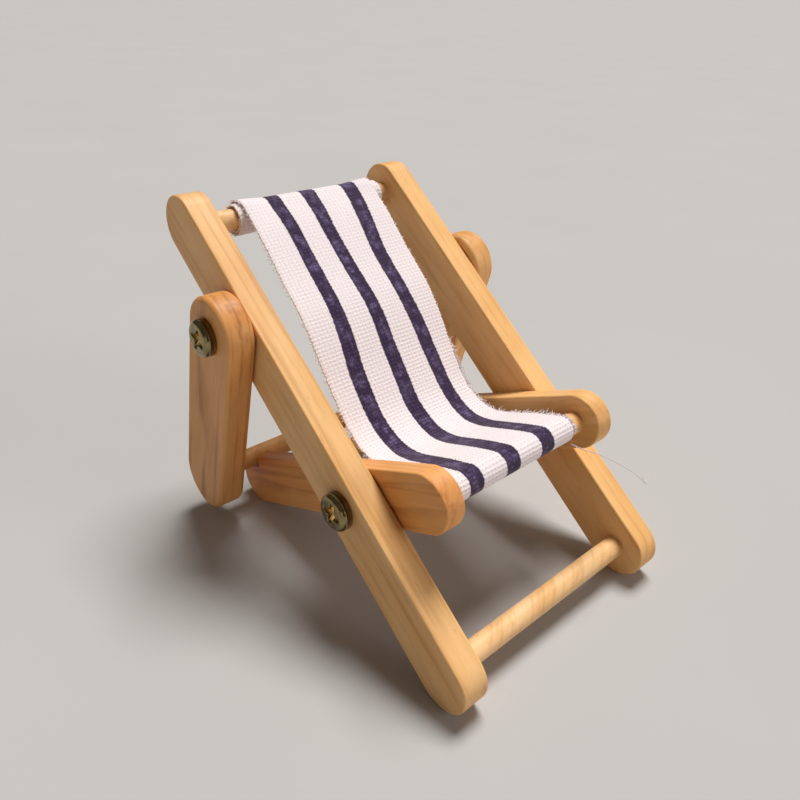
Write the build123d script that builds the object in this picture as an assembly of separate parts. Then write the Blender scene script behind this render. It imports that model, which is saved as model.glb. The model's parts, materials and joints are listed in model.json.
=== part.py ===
"""Miniature folding deck chair: a wooden long frame, a seat frame and a prop frame, with a cloth sling.

Millimetres. +Z is up, +X runs from the left side to the right, and -Y is the front, where the feet are.
The origin is on the floor, under the middle of the long frame.
"""
from build123d import *
from math import asin, atan2, cos, degrees, radians, sin
import os

# Long frame: two leaning rails, from the front feet to the top of the back.
LONG_RAIL_LENGTH = 100.0
LONG_RAIL_DEPTH = 10.6
LONG_RAIL_WIDTH = 5.2
LONG_RAIL_LEAN = 36.0            # degrees up from the floor
LONG_FRAME_INNER_WIDTH = 41.8    # clear distance between the two long rails
RAIL_ARRIS = 0.35                # rounding of the rails' long edges

# Dowels, glued into blind sockets.
DOWEL_DIAMETER = 4.0
DOWEL_SOCKET = 3.0
LONG_DOWEL_INSET = 0.8           # top and foot dowel, from the rail's round centre towards its middle

# Seat frame: two shorter rails inside the long ones, on pivot screws.
SEAT_RAIL_DEPTH = 10.2
SEAT_RAIL_WIDTH = 4.0
SEAT_PIVOT_ALONG = 30.7          # up the long rail from its lower round centre
SEAT_FRONT = 14.7                # pivot to the front round centre
SEAT_REAR = 40.8                 # pivot to the rear round centre
SEAT_REAR_DOWEL = 33.5           # pivot to the rear dowel
SEAT_RAIL_GAP = 0.25             # running gap to the long rail

# The step in each seat rail's rear end, open to the rear, which carries the prop's crossbar.
CROSSBAR_FROM_REAR = 0.8         # from the rear round centre towards the pivot
STEP_CLEARANCE = 0.1

# Prop frame: two struts outside the long rails, joined by the crossbar.
PROP_PIVOT_ALONG = 66.8          # up the long rail from its lower round centre
PROP_DEPTH = 13.6
PROP_WIDTH = 5.4
PROP_ARRIS = 0.9
PROP_GAP = 0.3                   # running gap to the long rail

# Pan-head pivot screws.
SCREW_SHANK_DIAMETER = 3.2
SCREW_HEAD_DIAMETER = 6.6
SCREW_HEAD_HEIGHT = 2.0
SCREW_HEAD_ROUNDING = 0.9
SCREW_BEARING_CLEARANCE = 0.05   # radial, where a wooden piece turns on the shank
SCREW_HEAD_GAP = 0.1             # between the head and the piece that turns under it
SCREW_COVER = 0.9                # wood left beyond the screw's tip
RECESS_SPAN = 3.6
RECESS_SLOT = 0.85
RECESS_DEPTH = 1.1

# Sling: one strip of cloth, rolled round the top dowel and the seat's front dowel.
SLING_SIDE_GAP = 0.45            # between the cloth's edge and the seat rail beside it
SLING_THICKNESS = 0.7
SLEEVE_CLEARANCE = 0.05
TOP_SLEEVE_DIAMETER = 6.2
FRONT_SLEEVE_DIAMETER = 5.8
SLING_END_GAP = 2.4              # from a dowel's axis, along the cloth, to the end of the span
SLING_BEND_BELOW_TOP = 28.6      # from the top dowel, where the cloth turns down towards its low point
SLING_KNEE_BEHIND_PIVOT = 6.5    # the low point, along the seat rails
SLING_BEND_RADIUS = 14.0
SLING_KNEE_RADIUS = 7.0

# The side view: every point is a Vector with X = 0.
long_dir = Vector(0, cos(radians(LONG_RAIL_LEAN)), sin(radians(LONG_RAIL_LEAN)))
long_up = Vector(0, -sin(radians(LONG_RAIL_LEAN)), cos(radians(LONG_RAIL_LEAN)))
long_run = LONG_RAIL_LENGTH - LONG_RAIL_DEPTH
foot = Vector(0, -long_run / 2 * long_dir.Y, LONG_RAIL_DEPTH / 2)
head = foot + long_dir * long_run
foot_dowel_axis = foot + long_dir * LONG_DOWEL_INSET
top_dowel_axis = head - long_dir * LONG_DOWEL_INSET
seat_pivot = foot + long_dir * SEAT_PIVOT_ALONG
prop_pivot = foot + long_dir * PROP_PIVOT_ALONG

# The seat rails slope down until their rear ends stand on the floor.
seat_slope = asin((seat_pivot.Z - SEAT_RAIL_DEPTH / 2) / SEAT_REAR)
seat_dir = Vector(0, cos(seat_slope), -sin(seat_slope))
seat_up = Vector(0, sin(seat_slope), cos(seat_slope))
seat_front = seat_pivot - seat_dir * SEAT_FRONT
seat_rear = seat_pivot + seat_dir * SEAT_REAR
rear_dowel_axis = seat_pivot + seat_dir * SEAT_REAR_DOWEL

# The crossbar lies half sunk in the steps, which fixes the length and lean of the struts.
crossbar_axis = seat_rear - seat_dir * CROSSBAR_FROM_REAR + seat_up * (SEAT_RAIL_DEPTH / 2)
prop_run = crossbar_axis - prop_pivot

# Across the chair, on its right-hand side.
long_inner_x = LONG_FRAME_INNER_WIDTH / 2
long_outer_x = long_inner_x + LONG_RAIL_WIDTH
seat_outer_x = long_inner_x - SEAT_RAIL_GAP
seat_inner_x = seat_outer_x - SEAT_RAIL_WIDTH
sling_edge_x = seat_inner_x - SLING_SIDE_GAP
prop_inner_x = long_outer_x + PROP_GAP
prop_outer_x = prop_inner_x + PROP_WIDTH


def side_plane(point, x, x_dir=(0, 1, 0)):
    """A plane across the chair at x, with its normal towards +X."""
    return Plane(origin=(x, point.Y, point.Z), x_dir=x_dir, z_dir=(1, 0, 0))


def rod(point, diameter, x_from, x_to):
    """A round bar along X."""
    return extrude(side_plane(point, x_from) * Circle(diameter / 2), x_to - x_from)


def stick(start, end, depth, width, inner_x, arris):
    """A flat stick with full-round ends about start and end, and eased edges."""
    outline = side_plane((start + end) / 2, inner_x, end - start) * SlotCenterToCenter((end - start).length, depth)
    blank = extrude(outline, width)
    return fillet(blank.edges().filter_by(Axis.X, reverse=True), arris)


def dowel(point, inner_x):
    """A dowel between two sticks whose inner faces are at inner_x on either side."""
    reach = inner_x + DOWEL_SOCKET
    return rod(point, DOWEL_DIAMETER, -reach, reach)


def bearing_hole(point, inner_x, width):
    """The hole by which a wooden piece turns on a screw's shank."""
    return rod(point, SCREW_SHANK_DIAMETER + 2 * SCREW_BEARING_CLEARANCE, inner_x - 1, inner_x + width + 1)


def long_rail():
    rail = stick(foot, head, LONG_RAIL_DEPTH, LONG_RAIL_WIDTH, long_inner_x, RAIL_ARRIS)
    rail -= dowel(foot_dowel_axis, long_inner_x)
    rail -= dowel(top_dowel_axis, long_inner_x)
    rail -= bearing_hole(seat_pivot, long_inner_x, LONG_RAIL_WIDTH)
    return rail - prop_screw()


def seat_rail():
    rail = stick(seat_front, seat_rear, SEAT_RAIL_DEPTH, SEAT_RAIL_WIDTH, seat_inner_x, RAIL_ARRIS)
    rail -= dowel(seat_front, seat_inner_x)
    rail -= dowel(rear_dowel_axis, seat_inner_x)
    front = DOWEL_DIAMETER / 2 + STEP_CLEARANCE
    rear = CROSSBAR_FROM_REAR + SEAT_RAIL_DEPTH / 2 + 1
    step = Pos((rear - front) / 2, 0) * Rectangle(front + rear, 2 * front)
    rail -= extrude(side_plane(crossbar_axis, seat_inner_x - 1, seat_dir) * step, SEAT_RAIL_WIDTH + 2)
    return rail - seat_screw()


def prop_strut():
    strut = stick(prop_pivot, crossbar_axis, PROP_DEPTH, PROP_WIDTH, prop_inner_x, PROP_ARRIS)
    strut -= dowel(crossbar_axis, prop_inner_x)
    return strut - bearing_hole(prop_pivot, prop_inner_x, PROP_WIDTH)


def screw(point, face_x, tip_x, turn):
    """A pan-head screw: its head stands on a face at face_x, and its point is at tip_x."""
    seat_x = face_x + SCREW_HEAD_GAP
    top_x = seat_x + SCREW_HEAD_HEIGHT
    pan = rod(point, SCREW_HEAD_DIAMETER, seat_x, top_x)
    pan = fillet(pan.edges().sort_by(Axis.X)[-1:], SCREW_HEAD_ROUNDING)
    shank = rod(point, SCREW_SHANK_DIAMETER, tip_x, seat_x)
    shank = chamfer(shank.edges().sort_by(Axis.X)[:1], SCREW_SHANK_DIAMETER / 4)
    cross = Rectangle(RECESS_SPAN, RECESS_SLOT) + Rectangle(RECESS_SLOT, RECESS_SPAN)
    recess = extrude(side_plane(point, top_x) * Rot(0, 0, turn) * cross, -RECESS_DEPTH, taper=8)
    return pan + shank - recess


def seat_screw(turn=0.0):
    """Turns in the long rail and is driven into the seat rail."""
    return screw(seat_pivot, long_outer_x, seat_inner_x + SCREW_COVER, turn)


def prop_screw(turn=0.0):
    """Carries the strut and is driven into the long rail."""
    return screw(prop_pivot, prop_outer_x, long_inner_x + SCREW_COVER, turn)


def sleeve(point, outer_diameter):
    """The cloth rolled round a dowel."""
    roll = rod(point, outer_diameter, -sling_edge_x, sling_edge_x)
    return roll - rod(point, DOWEL_DIAMETER + 2 * SLEEVE_CLEARANCE, -sling_edge_x - 1, sling_edge_x + 1)


def sling_span():
    """The hanging cloth: level with the long rails at the top, low behind the pivot, level with the seat."""
    start = top_dowel_axis - long_dir * SLING_END_GAP + long_up * (TOP_SLEEVE_DIAMETER / 2)
    bend = top_dowel_axis - long_dir * SLING_BEND_BELOW_TOP + long_up * (TOP_SLEEVE_DIAMETER / 2)
    knee = seat_pivot + seat_dir * SLING_KNEE_BEHIND_PIVOT + seat_up * (FRONT_SLEEVE_DIAMETER / 2)
    end = seat_front + seat_dir * SLING_END_GAP + seat_up * (FRONT_SLEEVE_DIAMETER / 2)
    path = FilletPolyline(start, bend, knee, end, radius=[SLING_BEND_RADIUS, SLING_KNEE_RADIUS])
    print("sling span length", round(path.length, 2))
    strip = make_face(offset(path, amount=SLING_THICKNESS / 2, side=Side.BOTH))
    return extrude(strip, sling_edge_x, dir=(1, 0, 0), both=True)


nodes = {
    "top_dowel": dowel(top_dowel_axis, long_inner_x),
    "foot_dowel": dowel(foot_dowel_axis, long_inner_x),
    "seat_front_dowel": dowel(seat_front, seat_inner_x),
    "seat_rear_dowel": dowel(rear_dowel_axis, seat_inner_x),
    "prop_crossbar": dowel(crossbar_axis, prop_inner_x),
    "sling_top_sleeve": sleeve(top_dowel_axis, TOP_SLEEVE_DIAMETER),
    "sling_front_sleeve": sleeve(seat_front, FRONT_SLEEVE_DIAMETER),
    "sling_span": sling_span(),
}
pairs = {
    "long_rail": (long_rail(), long_rail()),
    "seat_rail": (seat_rail(), seat_rail()),
    "prop_strut": (prop_strut(), prop_strut()),
    "seat_pivot_screw": (seat_screw(12.0), seat_screw(40.0)),
    "prop_pivot_screw": (prop_screw(25.0), prop_screw(70.0)),
}
for name, (left, right) in pairs.items():
    nodes[name + "_left"] = mirror(left, Plane.YZ)
    nodes[name + "_right"] = right

os.makedirs("parts", exist_ok=True)
for name, shape in nodes.items():
    export_step(shape, f"parts/{name}.step")

fold = LONG_RAIL_LEAN + degrees(seat_slope)
prop_lean = degrees(atan2(prop_run.Z, prop_run.Y))
print("seat pivot", seat_pivot, "prop pivot", prop_pivot)
print("seat fold", round(fold, 3), "prop fold", round(LONG_RAIL_LEAN - prop_lean, 3))
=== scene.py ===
# %% [markdown]
# A small wooden deck chair with a cloth sling.
# The chair is three frames of pine sticks and dowels that turn on brass-coloured screws.
# One strip of striped cotton is rolled round the top dowel, sags, and is rolled round the seat's front dowel.
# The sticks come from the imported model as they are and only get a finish.
# The cloth, its yarn ends and the finer screws are made here.

# %% Load the frame
import json

import bpy
import numpy as np
from mathutils import Matrix, Vector


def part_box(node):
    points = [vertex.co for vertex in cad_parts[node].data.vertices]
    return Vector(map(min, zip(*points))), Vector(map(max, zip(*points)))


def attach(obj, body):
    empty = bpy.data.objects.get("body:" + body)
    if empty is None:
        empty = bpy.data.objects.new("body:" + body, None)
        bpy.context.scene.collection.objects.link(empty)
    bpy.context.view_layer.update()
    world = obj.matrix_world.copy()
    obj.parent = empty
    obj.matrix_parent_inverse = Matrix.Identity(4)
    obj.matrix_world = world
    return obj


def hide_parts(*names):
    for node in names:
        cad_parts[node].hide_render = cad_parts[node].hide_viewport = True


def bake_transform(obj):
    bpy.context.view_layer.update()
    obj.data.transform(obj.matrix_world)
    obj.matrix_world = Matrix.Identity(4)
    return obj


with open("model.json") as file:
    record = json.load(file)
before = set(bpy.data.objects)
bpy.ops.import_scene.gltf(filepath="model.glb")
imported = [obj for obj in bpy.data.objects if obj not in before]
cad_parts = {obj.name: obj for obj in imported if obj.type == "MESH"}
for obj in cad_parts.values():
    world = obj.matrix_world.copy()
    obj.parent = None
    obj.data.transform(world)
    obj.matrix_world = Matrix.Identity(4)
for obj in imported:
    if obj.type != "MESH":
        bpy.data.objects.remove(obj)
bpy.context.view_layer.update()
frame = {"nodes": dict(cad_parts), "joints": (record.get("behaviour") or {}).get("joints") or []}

MM = 0.001

# %% [markdown]
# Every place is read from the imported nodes. The chair is the same along its width,
# so most of it is a drawing in the side view, with Y to the back and Z up.

# %% Side view
def middle(node):
    """The middle of a node's box in the side view, in millimetres."""
    low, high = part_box(node)
    return (np.array(low)[1:] + np.array(high)[1:]) / (2 * MM)


def unit(vector):
    """A vector of length one in the same direction."""
    return vector / np.linalg.norm(vector)


top_axis = middle("top_dowel")
foot_axis = middle("foot_dowel")
front_axis = middle("seat_front_dowel")
rear_axis = middle("seat_rear_dowel")
crossbar_axis = middle("prop_crossbar")
joints = {joint["name"]: joint for joint in frame["joints"]}
prop_pivot = np.array(joints["prop_fold"]["pos_m"][1:]) / MM
seat_pivot = np.array(joints["seat_fold"]["pos_m"][1:]) / MM
long_dir = unit(top_axis - foot_axis)
seat_dir = unit(rear_axis - front_axis)
prop_dir = unit(crossbar_axis - prop_pivot)
long_up = np.array([-long_dir[1], long_dir[0]])
seat_up = np.array([-seat_dir[1], seat_dir[0]])
print("long rails lean", round(float(np.degrees(np.arctan2(long_dir[1], long_dir[0]))), 2), "degrees")
print("seat rails lean", round(float(np.degrees(np.arctan2(seat_dir[1], seat_dir[0]))), 2), "degrees")

# %% [markdown]
# A piece made here is a surface worked out with numpy as a grid of points.
# The faces of a grid follow from its row and column numbers, so one helper serves every piece.

# %% Grids and meshes
def grid_faces(rows, columns, wrap=False):
    """Quads of a grid: each point (row, column) with its neighbours.
    With wrap, the last column is joined to the first."""
    row = np.arange(rows - 1)[:, None]
    column = np.arange(columns if wrap else columns - 1)[None, :]
    beside = (column + 1) % columns
    a = row * columns + column
    b = row * columns + beside
    c = (row + 1) * columns + beside
    d = (row + 1) * columns + column
    return np.stack([a, b, c, d], axis=-1).reshape(-1, 4)


def make_piece(name, points_mm, faces, maps=None):
    """A smooth-shaded mesh object from points in millimetres and faces.
    maps holds UV maps by name, each with one pair per point."""
    mesh = bpy.data.meshes.new(name)
    points = np.asarray(points_mm, dtype=float) * MM
    mesh.from_pydata(points.tolist(), [], [list(face) for face in faces])
    corner = np.empty(len(mesh.loops), dtype=np.int32)
    mesh.loops.foreach_get("vertex_index", corner)
    for key, uv in (maps or {}).items():
        layer = mesh.uv_layers.new(name=key)
        layer.data.foreach_set("uv", uv[corner].astype(np.float32).ravel())
    mesh.polygons.foreach_set("use_smooth", np.ones(len(mesh.polygons), dtype=bool))
    mesh.update()
    piece = bpy.data.objects.new(name, mesh)
    bpy.context.scene.collection.objects.link(piece)
    print(name, "has", len(mesh.vertices), "points and", len(mesh.polygons), "faces")
    return piece


# %% [markdown]
# Materials are small networks of nodes. A short helper adds a node, sets its values and joins its inputs,
# so that each finish below reads as a list of steps.

# %% Node helpers
def new_material(name):
    """An empty node material with a Principled shader, returned with its node tree and shader."""
    material = bpy.data.materials.new(name)
    material.use_nodes = True
    shader = material.node_tree.nodes["Principled BSDF"]
    return material, material.node_tree, shader


def node(tree, kind, inputs=(), **settings):
    """Adds a node of a kind, sets its settings, and sets or links each input in order (None is skipped)."""
    made = tree.nodes.new("ShaderNode" + kind)
    for key, value in settings.items():
        setattr(made, key, value)
    for socket, value in zip(made.inputs, inputs):
        if value is None:
            continue
        if isinstance(value, bpy.types.NodeSocket):
            tree.links.new(value, socket)
        else:
            socket.default_value = value
    return made


def maths(tree, operation, *inputs):
    """The result of a Math node."""
    return node(tree, "Math", inputs, operation=operation).outputs[0]


def ramp(tree, value, stops):
    """A colour ramp through (place, colour) stops."""
    made = node(tree, "ValToRGB", [value])
    elements = made.color_ramp.elements
    while len(elements) < len(stops):
        elements.new(0.5)
    for element, (place, colour) in zip(elements, stops):
        element.position = place
        element.color = (*colour, 1.0)
    return made.outputs["Color"]


def steps(tree, value, low, high):
    """A smooth step of a value, 0 below low and 1 above high."""
    made = node(tree, "MapRange", [value, low, high, 0.0, 1.0], interpolation_type="SMOOTHSTEP")
    return made.outputs[0]


def noise(tree, vector, scale, detail, roughness):
    """A noise value from 0 to 1 round 0.5."""
    made = node(tree, "TexNoise")
    tree.links.new(vector, made.inputs["Vector"])
    made.inputs["Scale"].default_value = scale
    made.inputs["Detail"].default_value = detail
    made.inputs["Roughness"].default_value = roughness
    return made.outputs[0]


def mix(tree, factor, first, second, blend_type="MIX"):
    """Two colours mixed by a factor."""
    made = node(tree, "Mix", data_type="RGBA", blend_type=blend_type)
    for socket, value in zip((made.inputs[0], made.inputs[6], made.inputs[7]), (factor, first, second)):
        if isinstance(value, bpy.types.NodeSocket):
            tree.links.new(value, socket)
        elif isinstance(value, tuple):
            socket.default_value = (*value, 1.0)
        else:
            socket.default_value = value
    return made.outputs[2]


def stretch(tree, vector, factors):
    """A vector multiplied by one factor for each axis."""
    return node(tree, "VectorMath", [vector, factors], operation="MULTIPLY").outputs[0]


def about_zero(tree, value, centre, share):
    """A value less its centre, times a share."""
    return maths(tree, "MULTIPLY", maths(tree, "SUBTRACT", value, centre), share)


def add_bump(tree, shader, height, strength, distance_mm):
    """Joins a height to a shader's normal through a Bump node."""
    bump = node(tree, "Bump")
    bump.inputs["Strength"].default_value = strength
    bump.inputs["Distance"].default_value = distance_mm * MM
    tree.links.new(height, bump.inputs["Height"])
    tree.links.new(bump.outputs["Normal"], shader.inputs["Normal"])


# %% [markdown]
# Pine is pale, with soft early wood and thin darker late wood in each year's ring.
# A stick sawn from a log shows the rings as long lines on its faces and as arcs on its ends.
# The finish is solid: the rings are cylinders about a pith that lies well outside the stick,
# along the stick's own direction, so that faces, rounded ends and edges agree with each other.
# Each grain below is how finely a noise is packed across, along and through the stick. It is always
# coarsest along it, which draws the noise out into streaks, pores and fibres.

# %% Pine finish
RING_PITCH = 1.9
RING_SWAY = 1.6
RING_TONES = [(0.0, 0.05), (0.55, 0.12), (0.86, 1.0), (0.93, 0.25), (1.0, 0.05)]
SLOW_GRAIN = (90.0, 22.0, 90.0)
STREAK_GRAIN = (520.0, 26.0, 520.0)
PORE_GRAIN = (2600.0, 420.0, 2600.0)
FIBRE_GRAIN = (5200.0, 160.0, 5200.0)
PINE_EARLY = (0.90, 0.575, 0.26)
PINE_HONEY = (0.82, 0.455, 0.155)
PINE_LATE = (0.46, 0.20, 0.055)
PINE_FLECK = (0.40, 0.20, 0.07)
END_GRAIN = (0.78, 0.62, 0.46)


def pine(name, direction, through, pith, tint, seed, contrast):
    """Pine along a direction: distance from the pith gives the rings, long stretched noise the fibres.

    through is a point of the stick's axis in millimetres, pith the ring centre's offset across the stick,
    tint a multiplier of the colour, contrast the strength of the dark late wood,
    and seed moves the noises so that no two sticks are alike.
    """
    material, tree, shader = new_material(name)
    across = Vector((1.0, 0.0, 0.0))
    along = Vector(direction)
    side = along.cross(across)
    turn = Matrix((across, along, side))
    mapping = node(tree, "Mapping", vector_type="POINT")
    tree.links.new(node(tree, "TexCoord").outputs["Object"], mapping.inputs["Vector"])
    mapping.inputs["Rotation"].default_value = turn.to_euler("XYZ")
    mapping.inputs["Location"].default_value = turn @ (Vector(through) * -MM)
    place = mapping.outputs["Vector"]
    shift = (seed * 0.37, seed * 0.61, seed * 0.13)
    moved = node(tree, "VectorMath", [place, shift], operation="ADD").outputs[0]
    slow = stretch(tree, moved, SLOW_GRAIN)
    sway = noise(tree, slow, 1.0, 2.0, 0.45)
    parts = node(tree, "SeparateXYZ", [place])
    x = maths(tree, "SUBTRACT", parts.outputs[0], pith[0] * MM)
    z = maths(tree, "SUBTRACT", parts.outputs[2], pith[1] * MM)
    square = maths(tree, "ADD", maths(tree, "MULTIPLY", x, x), maths(tree, "MULTIPLY", z, z))
    radius = maths(tree, "SQRT", square)
    rings = maths(tree, "MULTIPLY", radius, 1.0 / (RING_PITCH * MM))
    rings = maths(tree, "ADD", rings, maths(tree, "MULTIPLY", sway, RING_SWAY))
    year = maths(tree, "FRACT", rings)
    late = ramp(tree, year, [(stop, (tone,) * 3) for stop, tone in RING_TONES])
    patch = noise(tree, slow, 2.3, 3.0, 0.5)
    late = maths(tree, "MULTIPLY", late, steps(tree, patch, 0.3, 0.7))
    fine = stretch(tree, moved, FIBRE_GRAIN)
    fibre = noise(tree, fine, 1.0, 3.0, 0.6)
    speck = stretch(tree, moved, PORE_GRAIN)
    pore = steps(tree, noise(tree, speck, 1.0, 1.0, 0.5), 0.70, 0.80)
    pale, honey, deep = (tuple(part * share for part, share in zip(colour, tint))
                         for colour in (PINE_EARLY, PINE_HONEY, PINE_LATE))
    base = mix(tree, steps(tree, patch, 0.25, 0.8), pale, honey)
    base = mix(tree, maths(tree, "MULTIPLY", late, contrast), base, deep)
    streak = stretch(tree, moved, STREAK_GRAIN)
    band = steps(tree, noise(tree, streak, 1.0, 2.0, 0.5), 0.56, 0.74)
    base = mix(tree, maths(tree, "MULTIPLY", band, 0.75 * contrast), base, deep)
    base = mix(tree, about_zero(tree, fibre, 0.35, 0.45), base, deep)
    base = mix(tree, maths(tree, "MULTIPLY", pore, 0.35), base, PINE_FLECK)
    normal = node(tree, "TexCoord").outputs["Normal"]
    facing = node(tree, "VectorMath", [normal, tuple(along)], operation="DOT_PRODUCT").outputs["Value"]
    end = steps(tree, maths(tree, "ABSOLUTE", facing), 0.45, 0.98)
    end_tone = mix(tree, 1.0, base, END_GRAIN, "MULTIPLY")
    base = mix(tree, maths(tree, "MULTIPLY", end, 0.45), base, end_tone)
    tree.links.new(base, shader.inputs["Base Color"])
    rough = maths(tree, "ADD", maths(tree, "MULTIPLY", fibre, 0.18), 0.42)
    tree.links.new(rough, shader.inputs["Roughness"])
    shader.inputs["Specular IOR Level"].default_value = 0.42
    height = maths(tree, "ADD", maths(tree, "MULTIPLY", fibre, 0.7), maths(tree, "MULTIPLY", late, 0.5))
    add_bump(tree, shader, height, 0.35, 0.05)
    return material


# %% [markdown]
# The side view gives each stick its direction and a point of its axis. The pith, seed and contrast
# differ from stick to stick, as they do between sticks sawn from different boards. The tint differs too:
# the darker, warmer tint of the left seat rail is painted shade for its outer face, which is turned from the
# key light, and the left strut's is partly its own more orange-brown wood and partly painted shade.

# %% Pine on the sticks
def side_point(point):
    """A side-view point as a point in space, in the middle of the chair."""
    return (0.0, float(point[0]), float(point[1]))


def side_vector(direction):
    """A side-view direction as a direction in space."""
    return (0.0, float(direction[0]), float(direction[1]))


def give(node_name, material):
    """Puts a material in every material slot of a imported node."""
    mesh = frame["nodes"][node_name].data
    mesh.materials.clear()
    mesh.materials.append(material)


STICKS = {
    "long_rail_left": (long_dir, foot_axis, (14.0, -19.0), (0.98, 0.98, 1.00), 1.0, 0.45),
    "long_rail_right": (long_dir, foot_axis, (-12.0, -24.0), (1.02, 1.00, 0.97), 2.0, 0.40),
    # The darker, warmer tint of the left seat rail is painted shade.
    "seat_rail_left": (seat_dir, front_axis, (16.0, 17.0), (0.95, 0.76, 0.58), 3.0, 0.70),
    "seat_rail_right": (seat_dir, front_axis, (-18.0, 15.0), (1.00, 0.98, 0.95), 4.0, 0.40),
    # The left strut's darker tint is partly its own orange-brown wood and partly painted shade.
    "prop_strut_left": (prop_dir, prop_pivot, (9.0, 7.0), (0.91, 0.75, 0.60), 5.0, 0.95),
    "prop_strut_right": (prop_dir, prop_pivot, (-22.0, 12.0), (1.01, 0.97, 0.92), 6.0, 0.55),
}
for stick, (direction, through, pith, tint, seed, contrast) in STICKS.items():
    finish = pine(stick + "_pine", side_vector(direction), side_point(through), pith, tint, seed, contrast)
    give(stick, finish)
print("pine on", ", ".join(STICKS))

# %% [markdown]
# Dowels are turned from the same pine, with the grain running across the chair.

# %% Dowels
ACROSS = (1.0, 0.0, 0.0)
DOWEL_CONTRAST = 0.35
DOWELS = {
    "top_dowel": (top_axis, (9.0, 14.0), (0.98, 1.06, 1.30), 7.0),
    "foot_dowel": (foot_axis, (-13.0, 11.0), (1.00, 1.08, 1.30), 8.0),
    "seat_front_dowel": (front_axis, (12.0, -12.0), (1.02, 1.00, 0.98), 9.0),
    "seat_rear_dowel": (rear_axis, (-10.0, -15.0), (0.98, 0.96, 0.92), 10.0),
    "prop_crossbar": (crossbar_axis, (15.0, 8.0), (0.98, 0.95, 0.90), 11.0),
}
for bar, (through, pith, tint, seed) in DOWELS.items():
    give(bar, pine(bar + "_pine", ACROSS, side_point(through), pith, tint, seed, DOWEL_CONTRAST))
print("pine on", ", ".join(DOWELS))

# %% [markdown]
# The pan-head screws are yellow-plated steel. Polished metal shows mostly what is round it,
# so it is a metal shader with a low roughness, broken by faint scratches and by thinner plating in places.
# Its face is painted a dark gold as a painted reflection of dark surroundings,
# and its cross recess is painted a bright gold as a painted highlight.

# %% Brass-coloured screws
def plated_metal_painted_reflections():
    """Yellow plating: gold painted dark on the face as a painted reflection, darker in clouds, rougher along
    scratches, and painted bright in the recess as a painted highlight.
    """
    material, tree, shader = new_material("yellow_plating_painted_reflections")
    place = node(tree, "TexCoord").outputs["Object"]
    cloud = noise(tree, place, 900.0, 3.0, 0.55)
    thin = stretch(tree, place, (3000.0, 3000.0, 26000.0))
    scratch = steps(tree, noise(tree, thin, 1.0, 2.0, 0.6), 0.56, 0.72)
    # Painted reflection: the face's dark gold stands for the dark surroundings mirrored in it.
    face = mix(tree, steps(tree, cloud, 0.35, 0.75), (0.30, 0.24, 0.12), (0.18, 0.14, 0.06))
    # Painted highlight: deeper in the recess the gold is painted bright, as if its facets caught the light.
    sunk = node(tree, "Attribute", attribute_name="recess").outputs["Fac"]
    colour = mix(tree, steps(tree, sunk, 0.15, 0.6), face, (0.95, 0.62, 0.22))
    tree.links.new(colour, shader.inputs["Base Color"])
    shader.inputs["Metallic"].default_value = 1.0
    rough = maths(tree, "ADD", maths(tree, "MULTIPLY", scratch, 0.10), 0.10)
    tree.links.new(rough, shader.inputs["Roughness"])
    add_bump(tree, shader, scratch, 0.25, 0.01)
    return material


plating = plated_metal_painted_reflections()
print("one plating for all the screws:", plating.name)

# %% [markdown]
# The screw heads catch the light on their rounded rim and in the cross recess. Both are only a few tenths
# of a millimetre across, so each screw gets a fine surface of its own. The head is a height over a disc.
# A square grid bent into a disc keeps its lines straight near the middle, and the cross runs along them.

# %% Screw heads
HEAD_RADIUS = 3.3
HEAD_HEIGHT = 2.0
RIM_ROUNDING = 0.85
SHANK_RADIUS = 1.6
ARM_LENGTH = 2.1
ARM_HALF = 0.58
ARM_TAPER = 0.30
FLOOR_DEPTH = 0.25
FLOOR_FALL = 1.05
SIDE_WALL = 0.16
END_WALL = 0.30
BOWL_DEPTH = 1.25
BOWL_RADIUS = 1.15
BOWL_WALL = 0.75
DOME_DROP = 0.10
GRID = 121


def smooth_step(value, low, high):
    """0 below low, 1 above high, and an even S between."""
    share = np.clip((value - low) / (high - low), 0.0, 1.0)
    return share * share * (3 - 2 * share)


def recess_arm(far, off):
    """Depth of one arm of the cross: deepest at the middle, shallower outwards, with steep side walls."""
    floor_depth = FLOOR_DEPTH + FLOOR_FALL * (1 - np.abs(far) / ARM_LENGTH)
    half = ARM_HALF * (1 - ARM_TAPER * np.abs(far) / ARM_LENGTH)
    side = np.clip((half - np.abs(off)) / SIDE_WALL + 0.5, 0.0, 1.0)
    return floor_depth * side * np.clip((ARM_LENGTH - np.abs(far)) / END_WALL, 0.0, 1.0)


def head_surface():
    """The top of a pan head: a grid bent to a disc, with a low dome and a rounded rim, less the recess."""
    u, v = np.meshgrid(np.linspace(-1, 1, GRID), np.linspace(-1, 1, GRID), indexing="ij")
    a = u * np.sqrt(1 - v ** 2 / 2) * HEAD_RADIUS
    b = v * np.sqrt(1 - u ** 2 / 2) * HEAD_RADIUS
    radius = np.hypot(a, b)
    fall = np.clip((radius - (HEAD_RADIUS - RIM_ROUNDING)) / RIM_ROUNDING, 0.0, 1.0)
    rim = RIM_ROUNDING * (1 - np.sqrt(np.clip(1 - fall ** 2, 0.0, 1.0)))
    dome = DOME_DROP * (radius / HEAD_RADIUS) ** 2
    bowl = BOWL_DEPTH * np.clip((BOWL_RADIUS - radius) / BOWL_WALL, 0.0, 1.0)
    recess = np.maximum(np.maximum(recess_arm(a, b), recess_arm(b, a)), bowl)
    height = HEAD_HEIGHT - 0.02 - dome - 0.98 * rim - recess
    return np.stack([a, b, height], axis=-1)


def recess_share(surface):
    """How deep each point of the head lies in the recess, 0 on the face and 1 at the bottom."""
    radius = np.hypot(surface[..., 0], surface[..., 1])
    depth = HEAD_HEIGHT - 0.2 - surface[..., 2]
    return np.where(radius < ARM_LENGTH + 0.1, np.clip(depth, 0.0, 1.0), 0.0)


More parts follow.
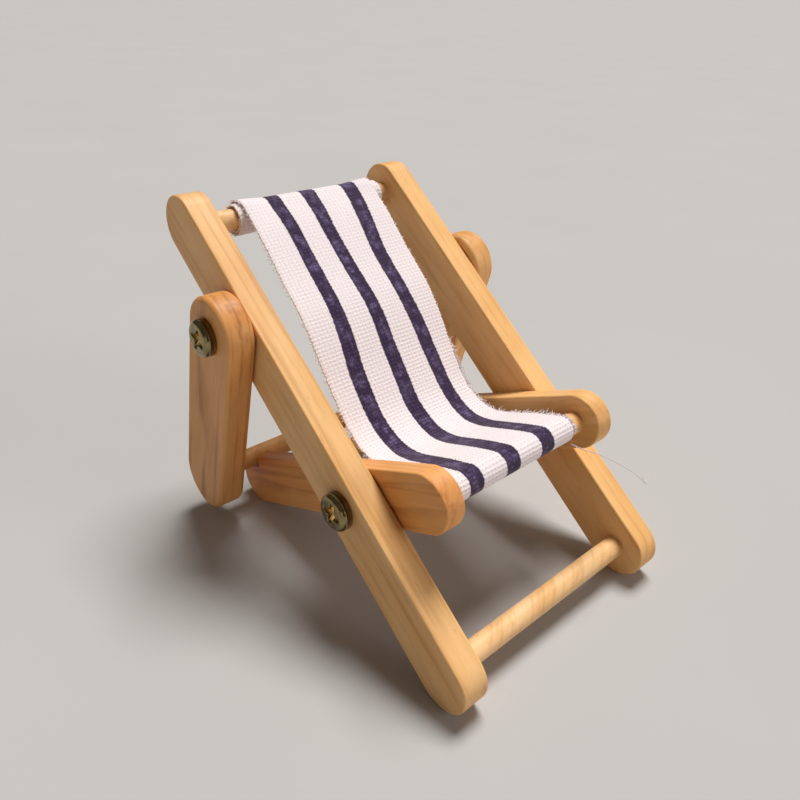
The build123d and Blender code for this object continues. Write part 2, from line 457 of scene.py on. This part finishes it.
head = head_surface()
print("recess, mm deep:", round(float(HEAD_HEIGHT - head[..., 2].min()), 2))

# %% [markdown]
# The rest of a screw is a stack of rings with the outline of the head's surface: the head's wall,
# its flat underside, the shank and the point. Joined to the surface, they make one closed skin.
# The left-hand screws are mirrored, so their faces are turned round to go on pointing outwards.

# %% A whole screw
SHANK_TAPER = 1.2
SHANK_TIP = 0.35


def make_screw(name, centre, turn, side):
    """A screw: the head's surface, then its wall, underside and pointed shank as rings of its outline."""
    low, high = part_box(name)
    inner, outer = sorted((abs(low[0]) / MM, abs(high[0]) / MM))
    index = np.arange(GRID * GRID).reshape(GRID, GRID)
    outline = np.concatenate([index[:-1, 0], index[-1, :-1], index[:0:-1, -1], index[0, :0:-1]])
    edge = head.reshape(-1, 3)[outline]
    ring = edge[:, :2] / np.linalg.norm(edge[:, :2], axis=1, keepdims=True)
    depth = outer - inner - HEAD_HEIGHT
    profile = [(HEAD_RADIUS, 0.3), (HEAD_RADIUS, 0.1), (HEAD_RADIUS - 0.12, 0.0), (SHANK_RADIUS + 0.1, 0.0),
               (SHANK_RADIUS, -0.2), (SHANK_RADIUS, SHANK_TAPER - depth), (SHANK_TIP, 0.1 - depth),
               (0.02, -depth)]
    rings = [np.column_stack([ring * reach, np.full(len(ring), height)]) for reach, height in profile]
    points = np.concatenate([head.reshape(-1, 3)] + rings)
    count = len(outline)
    below = GRID * GRID + np.arange(len(profile) * count).reshape(len(profile), count)
    loops = np.concatenate([outline[None, :], below])
    following = np.roll(loops, -1, axis=1)
    walls = np.stack([loops[:-1], loops[1:], following[1:], following[:-1]], axis=-1).reshape(-1, 4)
    faces = np.concatenate([grid_faces(GRID, GRID), walls])
    faces = faces.tolist() + [loops[-1][::-1].tolist()]
    spin = np.radians(turn)
    a = points[:, 0] * np.cos(spin) - points[:, 1] * np.sin(spin)
    b = points[:, 0] * np.sin(spin) + points[:, 1] * np.cos(spin)
    x = side * (points[:, 2] + outer - HEAD_HEIGHT)
    if side < 0:
        faces = [face[::-1] for face in faces]
    placed = np.column_stack([x, centre[0] + a, centre[1] + b])
    piece = make_piece(name.replace("screw", "pan_head"), placed, faces)
    piece.data.materials.append(plating)
    # The recess share is kept on the head for the plating, which uses it to paint the recess bright as a
    # painted highlight.
    sunk = np.zeros(len(points), dtype=np.float32)
    sunk[:GRID * GRID] = recess_share(head).ravel()
    piece.data.attributes.new("recess", "FLOAT", "POINT").data.foreach_set("value", sunk)
    return piece


# %% [markdown]
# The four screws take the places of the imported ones. Each is turned by a different amount, as hand-driven
# screws are. The seat's two ride on the seat frame and the prop's two on the long frame.

# %% Four screws
SCREWS = {
    "seat_pivot_screw_left": (seat_pivot, 12.0, -1, "seat_frame"),
    "seat_pivot_screw_right": (seat_pivot, 40.0, 1, "seat_frame"),
    "prop_pivot_screw_left": (prop_pivot, 25.0, -1, "long_frame"),
    "prop_pivot_screw_right": (prop_pivot, 70.0, 1, "long_frame"),
}
for screw, (centre, turn, side, body) in SCREWS.items():
    made = make_screw(screw, centre, turn, side)
    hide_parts(screw)
    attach(made, body)
print("screws:", ", ".join(SCREWS))

# %% [markdown]
# The sling is one strip of plain-weave cotton. Each end is rolled round a dowel, and the middle hangs slack.
# It could be draped by a simulation, but a strip held along both ends keeps the side view it was given,
# so its side view is drawn as one path: a spiral in, the free span, and a spiral out.

# %% The sling's path in the side view
CLOTH_WIDTH = 30.6
HALF_WIDTH = CLOTH_WIDTH / 2
CLOTH_THICKNESS = 0.36
RIB_PITCH = 0.74
WARP_PITCH = 0.84
STATION = RIB_PITCH / 4
ROLL_START = 2.21
TOP_TURNS = 1.9
TOP_RADIUS = 2.93
FRONT_TURNS = 0.82
FRONT_RADIUS = 2.24
MEAN_RADIUS = 2.6
LEFT_FLARE = 0.45
LEFT_FLARE_FROM = 8.5
RIGHT_FLARE = 0.55
RIGHT_FLARE_FROM = 9.0
DIP_PLACE = 40.0
DIP_LENGTH = 16.0
EDGE_DROP = 0.3
PATH_EASE = 1.9
SLACK = [(2.5, 0.3), (5.5, 0.5), (9.0, 0.3), (17.0, -0.4), (24.5, -0.55), (30.0, -1.7),
         (37.3, -3.9), (41.3, -4.8), (45.0, -5.8), (49.7, -5.5), (53.5, -3.7), (56.6, 0.7)]
SLACK_END = [(12.6, 0.62), (8.4, 0.60), (4.0, 0.52), (1.2, 0.22)]


def angle_of(direction):
    """The angle of a side-view direction above +Y."""
    return float(np.arctan2(direction[1], direction[0]))


def spiral(centre, leave_angle, turns, radius, sense, loosen, count):
    """Points round a centre: the radius grows evenly from ROLL_START to radius over the turns,
    plus loosen times the square of the share of the way.
    sense is +1 or -1, the way round in which the cloth rolls inwards."""
    share = np.linspace(0.0, 1.0, count)[:, None]
    angle = leave_angle + sense * 2 * np.pi * turns * (1.0 - share)
    reach = ROLL_START + (radius - ROLL_START) * share + loosen[None, :] * share ** 2
    return centre + np.stack([np.cos(angle) * reach, np.sin(angle) * reach], axis=-1)


def path_lengths(line):
    """The length along a path up to each of its points, taken on the mean of its columns."""
    pieces = np.linalg.norm(np.diff(line.mean(axis=1), axis=0), axis=1)
    return np.concatenate([[0.0], np.cumsum(pieces)])


def smooth_line(corners, step, spread):
    """A line through corners sampled every step, then averaged with a bell of the given spread.
    The line is continued by its own mirror image about each end, so the ends and their directions stay."""
    lengths = path_lengths(corners)
    count = int(round(lengths[-1] / step))
    places = np.linspace(0.0, lengths[-1], count + 1)
    share = np.stack([np.interp(places, lengths, row) for row in np.eye(len(lengths))], axis=1)
    line = np.einsum("nk,kmc->nmc", share, corners)
    half = int(4 * spread / step)
    before = 2 * line[:1] - line[half:0:-1]
    after = 2 * line[-1:] - line[-2:-half - 2:-1]
    bell = np.exp(-0.5 * (np.arange(-half, half + 1) * step / spread) ** 2)
    bell /= bell.sum()
    padded = np.concatenate([before, line, after])
    windows = np.lib.stride_tricks.sliding_window_view(padded, 2 * half + 1, axis=0)
    return np.einsum("nmck,k->nmc", windows, bell)


def cloth_middle(across):
    """The cloth's middle surface in the side view, a column for each place across, with the lengths along it,
    the number of points in the top roll and the number in the free span."""
    left = LEFT_FLARE * smooth_step(-across, LEFT_FLARE_FROM, HALF_WIDTH)
    flare = left + RIGHT_FLARE * smooth_step(across, RIGHT_FLARE_FROM, HALF_WIDTH)
    top_angle = angle_of(long_up)
    front_angle = angle_of(seat_up)
    top_count = int(2 * np.pi * TOP_TURNS * MEAN_RADIUS / STATION)
    front_count = int(2 * np.pi * FRONT_TURNS * MEAN_RADIUS / STATION)
    top_roll = spiral(top_axis, top_angle, TOP_TURNS, TOP_RADIUS, -1, flare, top_count)
    tight = np.zeros_like(flare)
    front_roll = spiral(front_axis, front_angle, FRONT_TURNS, FRONT_RADIUS, 1, tight, front_count)[::-1]
    edge = np.abs(across) / HALF_WIDTH
    corners = []
    for down, above in SLACK:
        sag = np.exp(-((down - DIP_PLACE) / DIP_LENGTH) ** 2)
        lift = above + TOP_RADIUS - sag * EDGE_DROP * edge ** 2
        corners.append(top_axis - long_dir * down + lift[:, None] * long_up)
    for behind, above in SLACK_END:
        lift = np.full_like(edge, above + FRONT_RADIUS)
        corners.append(front_axis + seat_dir * behind + lift[:, None] * seat_up)
    corners = np.concatenate([top_roll[-1:], np.array(corners), front_roll[:1]])
    span = smooth_line(corners, STATION, PATH_EASE)
    line = np.concatenate([top_roll[:-1], span, front_roll[1:]])
    lengths = path_lengths(line)
    return line, lengths, top_count, len(span)


_, middle_lengths, top_count, span_count = cloth_middle(np.array([-0.5, 0.5]))
print("cloth length, mm:", round(float(middle_lengths[-1]), 1))
span_length = middle_lengths[top_count + span_count - 2] - middle_lengths[top_count - 1]
span_start = float(middle_lengths[top_count - 1])
print("free span, mm:", round(float(span_length), 1))

# %% [markdown]
# Hand-cut and hand-rolled cloth is never quite straight. The strip drifts sideways from the top to the front,
# its long edges are drawn in on the seat, and each stripe wanders on its own.
# Each of these is a short table of places along the free span, in millimetres, eased between its rows.

# %% Drift and stripe lines
DRIFT = [(0.0, 0.9), (15.0, 0.3), (30.0, -0.1), (45.0, -0.4), (55.0, -0.6), (68.0, -1.3)]
STRIPE_PITCH = 9.0
EDGE_IN = [(-20.0, -1.3, -2.2), (-9.0, -1.3, -2.2), (-3.0, 0.0, 0.0), (34.0, 0.0, 0.0), (44.0, 0.2, 0.6),
           (56.0, 0.4, 0.8), (68.0, 0.6, 0.7)]
STRIPE_LINES = [(-6.0, -8.1, -0.1, 10.0), (3.0, -8.0, -0.5, 9.8), (8.0, -7.7, -0.8, 9.0),
                (16.0, -7.5, -0.4, 8.1), (24.0, -7.6, 0.3, 8.0), (29.0, -7.9, 0.5, 8.5),
                (33.0, -8.3, 0.2, 8.9), (38.0, -8.8, 0.2, 9.2), (44.0, -8.9, 0.1, 9.5),
                (52.0, -8.7, 0.0, 9.4), (60.0, -9.5, -0.8, 8.3), (68.0, -10.1, -1.3, 7.5)]
PULL_FROM = 8.0
TABLE_FROM = -24.0
TABLE_TO = 74.0
TABLE_COUNT = 393
BELL_HALF = 24
BELL_SPREAD = 9.0


def along_span(lengths, table, column):
    """A column of a table along the free span, eased between its rows, for each length along the strip."""
    listed = np.array(table)
    sampled = np.linspace(TABLE_FROM, TABLE_TO, TABLE_COUNT)
    places = np.interp(sampled, listed[:, 0], listed[:, column])
    bell = np.exp(-0.5 * (np.arange(-BELL_HALF, BELL_HALF + 1) / BELL_SPREAD) ** 2)
    eased = np.convolve(np.pad(places, BELL_HALF, mode="edge"), bell / bell.sum(), mode="valid")
    return np.interp(lengths - span_start, sampled, eased)


def edge_pull(across, lengths):
    """How far the long edges are drawn in, or out on the inner turns of the top roll, at each point."""
    left = along_span(lengths, EDGE_IN, 1)[:, None] * smooth_step(-across, PULL_FROM, HALF_WIDTH)[None, :]
    right = along_span(lengths, EDGE_IN, 2)[:, None] * smooth_step(across, PULL_FROM, HALF_WIDTH)[None, :]
    return left - right


def stripe_place(across, lengths):
    """Where each point lies among the stripes: across, less the drift of the stripes near it.
    Each stripe's drift counts fully on its own line and fades to nothing on the next stripe's line."""
    place = np.broadcast_to(across[None, :], (len(lengths), len(across))).copy()
    held = np.clip(across, -STRIPE_PITCH, STRIPE_PITCH)
    for number, column in ((-1, 1), (0, 2), (1, 3)):
        share = np.clip(1 - np.abs(held - number * STRIPE_PITCH) / STRIPE_PITCH, 0.0, 1.0)
        drift = along_span(lengths, STRIPE_LINES, column) - number * STRIPE_PITCH
        place -= share[None, :] * drift[:, None]
    return place


print("stripes start", [round(float(along_span(span_start, STRIPE_LINES, c)), 1) for c in (1, 2, 3)])

# %% [markdown]
# The strip has a thickness, so its section across the chair is a long flat loop with round edges.
# Carrying that loop along the path gives a closed skin. The weft yarns lie across the strip as fine ribs,
# four stations to a rib. Each rib reaches out a little differently, which gives the edge its small bumps.

# %% The sling
COLUMNS = 46
EDGE_POINTS = 3
RIB_HEIGHT = 0.035
EDGE_BUMP = 0.05
BUMP_FROM = 14.3


def cloth_section(columns, edge_points):
    """One section's loop, left to right on top and back below: places across and heights off the middle."""
    flat = (CLOTH_WIDTH - CLOTH_THICKNESS) / 2
    turn = np.linspace(np.pi / 2, -np.pi / 2, edge_points + 2)[1:-1]
    spread = np.sin(np.linspace(-np.pi / 2, np.pi / 2, columns))
    inner = flat * (0.75 * np.linspace(-1, 1, columns) + 0.25 * spread)
    half = CLOTH_THICKNESS / 2
    across = np.concatenate([inner, flat + half * np.cos(turn), inner[::-1], -flat - half * np.cos(turn)])
    height = np.concatenate([np.full(columns, half), half * np.sin(turn),
                             np.full(columns, -half), -half * np.sin(turn)])
    return across, height


def end_faces(rows, columns, edge_points):
    """Faces that close the loop at both ends of the strip: a row of quads with a cap at each edge."""
    top = np.arange(columns - 1)
    below = 2 * columns + edge_points - 1
    quads = np.stack([top, top + 1, below - top - 1, below - top], axis=-1).tolist()
    right = list(range(columns - 1, columns + edge_points + 1))
    left = list(range(below, below + edge_points + 1)) + [0]
    last = (rows - 1) * 2 * (columns + edge_points)
    far_quads = [[index + last for index in face[::-1]] for face in quads]
    far_caps = [[index + last for index in face[::-1]] for face in (right, left)]
    return quads + far_quads + [right, left] + far_caps


def make_sling():
    """The cloth: the section's loop carried along the middle surface, lifted by ribs, closed at its ends."""
    across, height = cloth_section(COLUMNS, EDGE_POINTS)
    line, lengths, _, _ = cloth_middle(across)
    tangent = np.gradient(line, axis=0)
    tangent /= np.linalg.norm(tangent, axis=-1, keepdims=True)
    normal = np.stack([tangent[..., 1], -tangent[..., 0]], axis=-1)
    rows = len(line)
    phase = 2 * np.pi * np.arange(rows) / 4
    rng = np.random.default_rng(21)
    rib = RIB_HEIGHT * np.cos(phase)[:, None] * np.sign(height)[None, :]
    uneven = np.repeat(rng.normal(0.0, EDGE_BUMP, rows // 4 + 1), 4)[:rows]
    side = np.sign(across)[None, :] * smooth_step(np.abs(across), BUMP_FROM, HALF_WIDTH)[None, :]
    out = side * (uneven + EDGE_BUMP * np.cos(phase))[:, None]
    place = line + normal * (height[None, :] + rib)[..., None]
    x = across[None, :] + out + along_span(lengths, DRIFT, 1)[:, None] + edge_pull(across, lengths)
    points = np.concatenate([x[..., None], place], axis=-1)
    walls = grid_faces(rows, len(across), wrap=True).tolist()
    faces = walls + end_faces(rows, COLUMNS, EDGE_POINTS)
    uv = np.stack(np.broadcast_arrays(across[None, :], lengths[:, None]), axis=-1)
    lines = np.stack([stripe_place(across, lengths), uv[..., 1]], axis=-1)
    maps = {"cloth": uv.reshape(-1, 2) / CLOTH_WIDTH, "stripes": lines.reshape(-1, 2) / CLOTH_WIDTH}
    piece = make_piece("striped_sling", points.reshape(-1, 3), faces, maps)
    return piece, float(lengths[-1])


sling, sling_length = make_sling()
print("sling:", len(sling.data.polygons), "faces, cut", CLOTH_WIDTH, "by", round(sling_length, 1), "mm")

# %% [markdown]
# The cotton is off-white, with three navy stripes along it. Seen close, a plain weave is two sets of yarns
# that pass over and under each other, with a pinhole between every four crossings.
# Cosines across and along the strip give each yarn's crown, their product says which yarn is on top.
# Both are bent a little by noise, because hand-cut cloth is never a perfect grid.

# %% Striped cotton finish
STRIPE_HALF = 1.7
NAVY = (0.030, 0.014, 0.055)
NAVY_LIGHT = (0.20, 0.16, 0.36)
COTTON = (0.87, 0.83, 0.90)
COTTON_SHADE = (0.69, 0.62, 0.66)
# Painted shade: the dark colour given to the pinholes between the yarns.
PINHOLE_SHADE = (0.16, 0.11, 0.12)


def weave(tree, flat, other):
    """A plain weave's height and pinholes: each yarn's crown is |cos|, and their product tells the upper."""
    parts = node(tree, "SeparateXYZ", [flat])
    bend_a = about_zero(tree, noise(tree, flat, 0.35, 3.0, 0.6), 0.5, 0.9)
    bend_b = about_zero(tree, noise(tree, other, 0.5, 3.0, 0.6), 0.5, 0.5)
    warp_place = maths(tree, "ADD", parts.outputs[0], bend_a)
    weft_place = maths(tree, "ADD", parts.outputs[1], bend_b)
    warp = maths(tree, "COSINE", maths(tree, "MULTIPLY", warp_place, float(np.pi / WARP_PITCH)))
    weft = maths(tree, "COSINE", maths(tree, "MULTIPLY", weft_place, float(np.pi / RIB_PITCH)))
    over = maths(tree, "MULTIPLY", warp, weft)
    crown_a = maths(tree, "ABSOLUTE", warp)
    crown_b = maths(tree, "ABSOLUTE", weft)
    high_a = maths(tree, "ADD", maths(tree, "MULTIPLY", crown_a, 0.75), maths(tree, "MULTIPLY", over, 0.30))
    high_b = maths(tree, "SUBTRACT", crown_b, maths(tree, "MULTIPLY", over, 0.30))
    height = maths(tree, "MAXIMUM", high_a, high_b)
    gap_size = maths(tree, "MULTIPLY", noise(tree, flat, 0.22, 2.0, 0.5), 0.60)
    hole = steps(tree, maths(tree, "ADD", crown_a, crown_b), maths(tree, "ADD", gap_size, 0.42), 0.10)
    return height, hole


def dyed(tree, white, flat, other, height, fuzz):
    """White cotton with navy about each stripe's line, its edges ragged, and paler where the dye is worn."""
    ragged = about_zero(tree, noise(tree, flat, 1.5, 3.0, 0.65), 0.5, 0.6)
    wander = about_zero(tree, noise(tree, flat, 0.12, 1.0, 0.5), 0.5, 0.4)
    lines = node(tree, "UVMap", uv_map="stripes").outputs["UV"]
    lines = stretch(tree, lines, (CLOTH_WIDTH,) * 3)
    printed = node(tree, "SeparateXYZ", [lines]).outputs[0]
    held = node(tree, "Clamp", [maths(tree, "ADD", printed, wander), -1.5 * STRIPE_PITCH, 1.5 * STRIPE_PITCH])
    near = maths(tree, "WRAP", held.outputs[0], -0.5 * STRIPE_PITCH, 0.5 * STRIPE_PITCH)
    away = maths(tree, "ADD", maths(tree, "ABSOLUTE", near), ragged)
    stripe = steps(tree, away, STRIPE_HALF + 0.14, STRIPE_HALF - 0.14)
    worn = steps(tree, noise(tree, other, 0.55, 4.0, 0.65), 0.44, 0.68)
    inside = steps(tree, away, STRIPE_HALF + 0.1, 0.4 * STRIPE_HALF)
    speckle = steps(tree, maths(tree, "MULTIPLY", fuzz, maths(tree, "ADD", height, 0.6)), 0.62, 0.95)
    speckled = maths(tree, "ADD", maths(tree, "MULTIPLY", speckle, 0.75), 0.25)
    lighter = maths(tree, "MULTIPLY", worn, speckled)
    navy = mix(tree, maths(tree, "MULTIPLY", lighter, inside), NAVY, NAVY_LIGHT)
    return mix(tree, stripe, white, navy)


def striped_cotton():
    """Off-white cotton, shaded between its yarns, with navy stripes and pinholes painted dark as painted
    shade.
    """
    material, tree, shader = new_material("striped_cotton")
    flat = node(tree, "UVMap", uv_map="cloth").outputs["UV"]
    flat = stretch(tree, flat, (CLOTH_WIDTH,) * 3)
    other = node(tree, "VectorMath", [flat, (31.0, 47.0, 5.0)], operation="ADD").outputs[0]
    height, hole = weave(tree, flat, other)
    fuzz = noise(tree, flat, 9.0, 3.0, 0.7)
    tone = noise(tree, flat, 1.6, 3.0, 0.6)
    low = maths(tree, "MULTIPLY", maths(tree, "SUBTRACT", 1.0, height), 0.38)
    shade = maths(tree, "ADD", low, about_zero(tree, tone, 0.45, 0.35))
    white = mix(tree, node(tree, "Clamp", [shade]).outputs[0], COTTON, COTTON_SHADE)
    dye = dyed(tree, white, flat, other, height, fuzz)
    # Painted shade: the pinholes are darkened for the shade behind the cloth that shows through them.
    colour = mix(tree, maths(tree, "MULTIPLY", hole, 0.36), dye, PINHOLE_SHADE)
    tree.links.new(colour, shader.inputs["Base Color"])
    shader.inputs["Roughness"].default_value = 0.9
    shader.inputs["Specular IOR Level"].default_value = 0.18
    shader.inputs["Sheen Weight"].default_value = 0.25
    shader.inputs["Sheen Roughness"].default_value = 0.5
    sunk = maths(tree, "SUBTRACT", height, maths(tree, "MULTIPLY", hole, 0.7))
    relief = maths(tree, "ADD", sunk, maths(tree, "MULTIPLY", fuzz, 0.25))
    add_bump(tree, shader, relief, 0.42, 0.09)
    return material


sling.data.materials.append(striped_cotton())
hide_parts("sling_top_sleeve", "sling_front_sleeve", "sling_span")
print("the sling stands in for the three packed sling nodes")

# %% [markdown]
# The strip's long edges were cut, not hemmed, so fine ends of yarn stand out of them, most of all
# on the right, on the seat and the front roll. Each is a thin tapering tube along a short curved path.
# One helper makes all the tubes of a piece at once, as one whole array.

# %% Tubes
def tubes(paths, radius, sides):
    """Thin tubes: rings of points round each path, square to it, half as wide at the tip.
    paths has one row per thread, then one per station, then X, Y and Z."""
    threads, stations, _ = paths.shape
    tangent = np.gradient(paths, axis=1)
    tangent /= np.linalg.norm(tangent, axis=-1, keepdims=True)
    helper = np.where(np.abs(tangent[..., 2:3]) > 0.9, np.array([1.0, 0.0, 0.0]), np.array([0.0, 0.0, 1.0]))
    first = np.cross(tangent, helper)
    first /= np.linalg.norm(first, axis=-1, keepdims=True)
    second = np.cross(tangent, first)
    angle = np.linspace(0, 2 * np.pi, sides, endpoint=False)
    reach = (radius * (1 - 0.5 * np.linspace(0, 1, stations)))[None, :, None, None]
    around = first[:, :, None, :] * np.cos(angle)[:, None] + second[:, :, None, :] * np.sin(angle)[:, None]
    points = (paths[:, :, None, :] + around * reach).reshape(-1, 3)
    one = grid_faces(stations, sides, wrap=True)[:, ::-1]
    starts = np.arange(threads)[:, None, None] * stations * sides
    faces = (one[None] + starts).reshape(-1, 4).tolist()
    cap = np.arange(sides)
    for number in range(threads):
        base = number * stations * sides
        faces.append((base + cap).tolist())
        faces.append((base + (stations - 1) * sides + cap[::-1]).tolist())
    return points, faces


# %% [markdown]
# The yarn ends start on the strip's edge and lean out of it, each with a slant, a rise and a curl of its own.
# They are one piece.

# %% Yarn ends
EDGE_INSET = 0.25
END_STATIONS = 6
YARN_RADIUS = 0.075


def yarn_ends(rng, side, first_mm, last_mm, count, length, lift):
    """Paths of yarn ends out of one long edge, between two places along the strip: straight out sideways,
    tilted at random along and off the cloth, and curling down towards the tip.
    lift leans them off the cloth."""
    edge = np.array([side * (HALF_WIDTH - EDGE_INSET)])
    line, lengths, _, _ = cloth_middle(np.repeat(edge, 2))
    line = line[:, 0]
    tangent = np.gradient(line, axis=0)
    tangent /= np.linalg.norm(tangent, axis=1, keepdims=True)
    row = np.searchsorted(lengths, rng.uniform(first_mm, last_mm, count)).clip(0, len(lengths) - 1)
    normal = np.column_stack([tangent[:, 1], -tangent[:, 0]])[row]
    start_x = (edge[0] + along_span(lengths, DRIFT, 1) + edge_pull(edge, lengths)[:, 0])[row]
    reach = length * rng.uniform(0.35, 1.0, count)
    slant = rng.normal(0.0, 0.45, count)
    rise = lift + rng.normal(0.0, 0.35, count)
    curl = rng.normal(0.0, 0.35, count)
    share = np.linspace(0.0, 1.0, END_STATIONS)[None, :]
    out = EDGE_INSET + reach[:, None] * share
    along = (slant[:, None] * share + curl[:, None] * share ** 2) * reach[:, None]
    off = (rise[:, None] * share - 0.35 * share ** 2) * reach[:, None]
    offset = rng.uniform(-0.14, 0.14, count)[:, None] + off
    beside = line[row][:, None, :] + tangent[row][:, None, :] * along[..., None]
    flat = beside + normal[:, None, :] * offset[..., None]
    return np.concatenate([(start_x[:, None] + side * out)[..., None], flat], axis=-1)


rng = np.random.default_rng(8)
knee_mm = span_start + 45.0
front_mm = span_start + span_length
ends = [
    yarn_ends(rng, 1, knee_mm - 6, front_mm, 330, 1.20, 0.30),
    yarn_ends(rng, 1, front_mm - 1, front_mm + 7, 240, 1.05, 0.15),
    yarn_ends(rng, 1, span_start, knee_mm, 170, 0.55, 0.10),
    yarn_ends(rng, -1, span_start, front_mm, 170, 0.50, 0.05),
    yarn_ends(rng, 1, span_start - 12, span_start, 150, 1.1, 0.10),
    yarn_ends(rng, -1, span_start - 12, span_start, 110, 0.7, 0.10),
]
fray = make_piece("yarn_ends", *tubes(np.concatenate(ends), YARN_RADIUS, 5))

# %% [markdown]
# One longer thread has come loose at the front right corner. It hangs off the roll and ends in a small hook.
# It is drawn through a few points in millimetres and eased between them.

# %% Loose thread
THREAD_RADIUS = 0.085
THREAD_STEP = 0.15
THREAD_EASE = 0.45
THREAD = [(13.0, -26.7, 28.0), (14.0, -28.9, 27.5), (15.6, -31.3, 27.1), (17.0, -33.1, 26.3),
          (18.5, -35.1, 25.2), (19.5, -36.9, 24.2), (20.3, -38.3, 23.0), (20.4, -38.9, 22.6),
          (19.9, -38.6, 23.2), (19.7, -37.8, 24.1), (20.5, -38.3, 24.1), (21.6, -39.0, 24.0)]


def cotton_yarn():
    """Bare cotton yarn: off-white, matt, a little uneven along its length."""
    material, tree, shader = new_material("cotton_yarn")
    place = node(tree, "TexCoord").outputs["Object"]
    tone = noise(tree, place, 1500.0, 2.0, 0.5)
    tree.links.new(mix(tree, tone, COTTON, COTTON_SHADE), shader.inputs["Base Color"])
    shader.inputs["Roughness"].default_value = 0.9
    shader.inputs["Sheen Weight"].default_value = 0.3
    shader.inputs["Sheen Roughness"].default_value = 0.5
    return material


loose_line = smooth_line(np.array(THREAD)[:, None, :], THREAD_STEP, THREAD_EASE)[:, 0]
loose = make_piece("loose_thread", *tubes(loose_line[None], THREAD_RADIUS, 6))
plain_cotton = cotton_yarn()
for piece in (fray, loose):
    piece.data.materials.append(plain_cotton)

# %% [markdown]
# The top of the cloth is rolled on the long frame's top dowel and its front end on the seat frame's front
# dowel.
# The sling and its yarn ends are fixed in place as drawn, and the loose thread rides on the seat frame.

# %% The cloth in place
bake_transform(sling)
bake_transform(fray)
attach(loose, "seat_frame")

# %% [markdown]
# The floor is plain and pale, and wide enough to reach the horizon from any side.

# %% Floor
def pale_floor():
    """A matt, pale grey floor with a very faint mottling."""
    material, tree, shader = new_material("pale_floor")
    place = node(tree, "TexCoord").outputs["Object"]
    cloud = noise(tree, place, 14.0, 3.0, 0.5)
    tree.links.new(mix(tree, cloud, (0.45, 0.46, 0.48), (0.49, 0.50, 0.52)), shader.inputs["Base Color"])
    shader.inputs["Roughness"].default_value = 0.85
    return material


FLOOR_HALF = 20000.0
floor = make_piece("floor", [(-FLOOR_HALF, -FLOOR_HALF, 0), (FLOOR_HALF, -FLOOR_HALF, 0),
                             (FLOOR_HALF, FLOOR_HALF, 0), (-FLOOR_HALF, FLOOR_HALF, 0)], [(0, 1, 2, 3)])
floor.data.materials.append(pale_floor())

# %% [markdown]
# Soft studio light from three lamps so far away that the floor is lit evenly. The wide key stands high over
# the chair, a little to its right and behind, and throws a soft shadow to the front left.
# A weaker one lights the front from the right, and a faint warm one picks out the shaded left side.
# A dim warm world fills the shadows. The camera sees a plain grey backdrop in its place.

# %% Lights
def far_light(name, toward, strength, spread, colour):
    """A lamp far away in the direction toward. spread is its width as an angle, which softens shadows."""
    data = bpy.data.lights.new(name, "SUN")
    data.energy = strength
    data.angle = spread
    data.color = colour
    lamp = bpy.data.objects.new(name, data)
    lamp.rotation_euler = Vector(toward).to_track_quat("Z", "Y").to_euler()
    bpy.context.scene.collection.objects.link(lamp)
    return lamp


far_light("key", (0.32, 0.14, 0.93), 3.4, 0.42, (1.0, 0.95, 0.88))
far_light("front", (0.52, -0.78, 0.34), 0.85, 0.70, (1.0, 0.89, 0.80))
far_light("left", (-0.80, -0.58, 0.14), 0.11, 0.35, (1.0, 0.66, 0.42))
world = bpy.data.worlds.new("studio")
world.use_nodes = True
ambient = world.node_tree.nodes["Background"]
ambient.inputs["Color"].default_value = (1.0, 0.86, 0.72, 1.0)
ambient.inputs["Strength"].default_value = 0.13
backdrop = world.node_tree.nodes.new("ShaderNodeBackground")
backdrop.inputs["Color"].default_value = (0.60, 0.59, 0.58, 1.0)
seen = world.node_tree.nodes.new("ShaderNodeLightPath")
chosen = world.node_tree.nodes.new("ShaderNodeMixShader")
world.node_tree.links.new(seen.outputs["Is Camera Ray"], chosen.inputs[0])
world.node_tree.links.new(ambient.outputs[0], chosen.inputs[1])
world.node_tree.links.new(backdrop.outputs[0], chosen.inputs[2])
world.node_tree.links.new(chosen.outputs[0], world.node_tree.nodes["World Output"].inputs["Surface"])
bpy.context.scene.world = world
bpy.context.scene.view_settings.view_transform = "Standard"

print("three distant lamps, a dim warm world and a plain backdrop")

# %% [markdown]
# The camera looks down at the chair from its front left. Its three directions are those of its own axes.

# %% Camera
camera_data = bpy.data.cameras.new("camera")
camera_data.lens = 31.8
camera_data.sensor_width = 36.0
camera_data.clip_start = 0.002
camera_data.clip_end = 60.0
camera = bpy.data.objects.new("camera", camera_data)
bpy.context.scene.collection.objects.link(camera)
to_right = Vector((0.75104, -0.65912, 0.03876))
to_up = Vector((0.31343, 0.40757, 0.85770))
to_back = Vector((-0.58112, -0.63201, 0.51269))
camera.matrix_world = Matrix((to_right, to_up, to_back)).transposed().to_4x4()
camera.location = (-0.079783, -0.082694, 0.09753)
bpy.context.scene.camera = camera
print("camera", round(camera_data.lens, 1), "mm, looking along", [round(-value, 2) for value in to_back])
